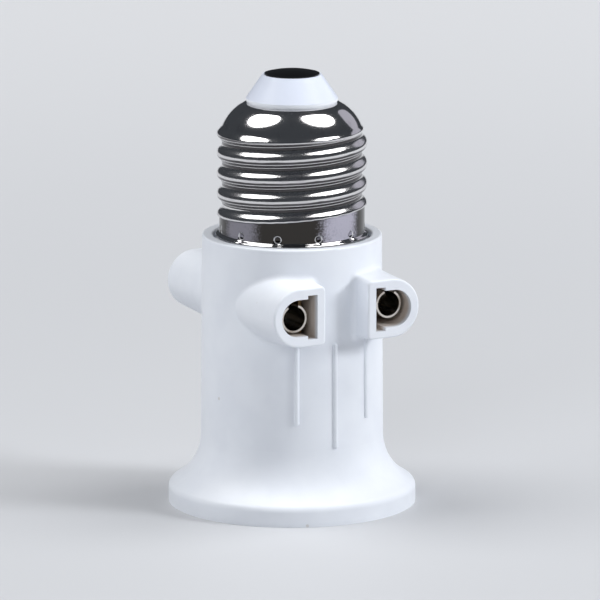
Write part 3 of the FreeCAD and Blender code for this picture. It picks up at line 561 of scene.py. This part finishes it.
def meshFrom(name, grid):
    # a surface from a grid of points in millimetres that closes on itself along both of its ways
    rows, columns, _ = grid.shape
    here = np.arange(rows * columns).reshape(rows, columns)
    above = np.roll(here, -1, 0)
    quads = np.stack([here, np.roll(here, -1, 1), np.roll(above, -1, 1), above], -1).reshape(-1, 4)
    mesh = bpy.data.meshes.new(name)
    mesh.vertices.add(rows * columns)
    mesh.vertices.foreach_set("co", (grid * mm).astype(np.float32).ravel())
    mesh.loops.add(quads.size)
    mesh.loops.foreach_set("vertex_index", quads.astype(np.int32).ravel())
    mesh.polygons.add(len(quads))
    mesh.polygons.foreach_set("loop_start", np.arange(0, quads.size, 4, dtype=np.int32))
    mesh.polygons.foreach_set("use_smooth", np.ones(len(quads), bool))
    mesh.update()
    mesh.validate()
    piece = bpy.data.objects.new(name, mesh)
    bpy.context.scene.collection.objects.link(piece)
    return piece


def makeCapSheet(look):
    # the radius depends on the angle and the height: the turned section, less the groove and the stakes
    section, outside = capSection(look)
    height = section[:, 1:]
    angle = np.radians(np.arange(look["around"]) * 360.0 / look["around"])[None, :]
    radius, wound = rollThread(section[:, :1], height, angle, outside, look)
    radius = pressStakes(radius, height, angle, outside, look)
    heights = np.broadcast_to(height, radius.shape)
    piece = meshFrom("screwCap", np.stack([radius * np.cos(angle), radius * np.sin(angle), heights], -1))
    values = piece.data.attributes.new("wound", "FLOAT", "POINT")
    values.data.foreach_set("value", wound.astype(np.float32).ravel())
    return piece


cap = makeCapSheet(capSheet)
cap.data.materials.append(makeCapNickel("rolledCapNickel", capNickel, capSheet))
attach(cap, "root")
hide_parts("cap_shell")
print("screw cap made,", len(cap.data.polygons), "faces")


# stage: a pale floor with painted shade near the object that brightens with the distance, a dim room, the
# lamps and the camera

room = {
    "nearFloorShade": (0.53, 0.54, 0.56), "farColour": (0.75, 0.76, 0.78), "nearReach": 0.12, "farReach": 0.75,
    "floorReach": 3.0, "floorRoughness": 0.62, "cloudScale": 9.0, "cloudDetail": 3.0, "cloudShare": 0.03,
    "worldColour": (0.80, 0.88, 1.0), "worldStrength": 0.06,
}

camera = {
    "azimuth": -28.2, "elevation": 11.8, "distance": 1.1105, "targetHeight": 0.03563, "aside": 0.001399,
    "lens": 381.1, "sensor": 36.0, "nearest": 0.01, "farthest": 20.0,
}

# each lamp has its angle to the right of the camera and its elevation, its size, its turn about its own axis
# and its power; the cap mirrors the two softboxes and the card behind, not the fills
softbox = {"distance": 1.8, "aimHeight": 0.04, "roll": 0.0, "colour": (1.0, 1.0, 1.0), "mirrored": True}
fill = {**softbox, "colour": (0.96, 0.975, 1.0), "mirrored": False}

lamps = {
    "leftSoftbox": {
        **softbox, "azimuth": -99.5, "elevation": 60.0, "wide": 1.25, "high": 1.1, "power": 18.7,
        "roll": 56.0},
    "rightSoftbox": {
        **softbox, "azimuth": 99.5, "elevation": 62.0, "wide": 1.22, "high": 1.08, "power": 17.2,
        "roll": -56.0},
    "sideFill": {**fill, "azimuth": 76.0, "elevation": 25.0, "wide": 0.5, "high": 0.5, "power": 20.0},
    "frontFill": {**fill, "azimuth": -16.0, "elevation": 28.0, "wide": 0.9, "high": 0.9, "power": 7.3},
    "leftFill": {**fill, "azimuth": -74.0, "elevation": 26.0, "wide": 0.8, "high": 0.8, "power": 5.0},
    "sideCard": {
        **softbox, "azimuth": 140.0, "elevation": 22.0, "wide": 1.0, "high": 0.9, "power": 1.0,
        "colour": (0.9, 0.88, 1.0)},
}


def makeFloor(look):
    reach = look["floorReach"]
    corners = [(-reach, -reach, 0), (reach, -reach, 0), (reach, reach, 0), (-reach, reach, 0)]
    mesh = bpy.data.meshes.new("floor")
    mesh.from_pydata(corners, [], [(0, 1, 2, 3)])
    floor = bpy.data.objects.new("floor", mesh)
    bpy.context.scene.collection.objects.link(floor)
    paint = Paint("paleFloor")
    away = paint.node("ShaderNodeVectorMath", {"operation": "LENGTH"}, {0: paint.place()}, output="Value")
    cloud = paint.noise(look["cloudScale"], look["cloudDetail"])
    # painted shade round the object, fading to a floor that is painted lighter far off, where the lamps'
    # light falls away
    share = away.over(look["nearReach"], look["farReach"]) + look["cloudShare"] * (cloud - 0.5)
    colour = paint.mix(share, look["nearFloorShade"], look["farColour"])
    mesh.materials.append(paint.finish(Base_Color=colour, Roughness=look["floorRoughness"]))


def makeWorld(look):
    world = bpy.data.worlds.new("dimRoom")
    bpy.context.scene.world = world
    world.use_nodes = True
    sky = world.node_tree.nodes["Background"]
    sky.inputs["Color"].default_value = (*look["worldColour"], 1.0)
    sky.inputs["Strength"].default_value = look["worldStrength"]


def direction(azimuth, elevation):
    # from the object, by the angle to the right of the camera and the angle above the floor
    turn = math.radians(camera["azimuth"] + azimuth)
    rise = math.radians(elevation)
    return Vector((math.sin(turn) * math.cos(rise), -math.cos(turn) * math.cos(rise), math.sin(rise)))


def makeLamp(name, look):
    data = bpy.data.lights.new(name, "AREA")
    data.shape = "ELLIPSE"
    data.size = look["wide"]
    data.size_y = look["high"]
    data.energy = look["power"]
    data.color = look["colour"]
    lamp = bpy.data.objects.new(name, data)
    bpy.context.scene.collection.objects.link(lamp)
    way = direction(look["azimuth"], look["elevation"])
    roll = Quaternion((0, 0, 1), math.radians(look["roll"]))
    lamp.location = way * look["distance"] + Vector((0, 0, look["aimHeight"]))
    lamp.rotation_euler = (way.to_track_quat("Z", "Y") @ roll).to_euler()
    lamp.visible_glossy = look["mirrored"]


def makeCamera(look):
    data = bpy.data.cameras.new("camera")
    data.lens = look["lens"]
    data.sensor_width = look["sensor"]
    data.clip_start = look["nearest"]
    data.clip_end = look["farthest"]
    eye = bpy.data.objects.new("camera", data)
    bpy.context.scene.collection.objects.link(eye)
    back = direction(0.0, look["elevation"])
    turn = math.radians(look["azimuth"])
    right = Vector((math.cos(turn), math.sin(turn), 0.0))
    eye.location = back * look["distance"] + right * look["aside"] + Vector((0, 0, look["targetHeight"]))
    eye.rotation_euler = back.to_track_quat("Z", "Y").to_euler()
    bpy.context.scene.camera = eye


makeFloor(room)
makeWorld(room)
for name, look in lamps.items():
    makeLamp(name, look)
makeCamera(camera)
bpy.context.scene.view_settings.view_transform = "Standard"
print("stage made")
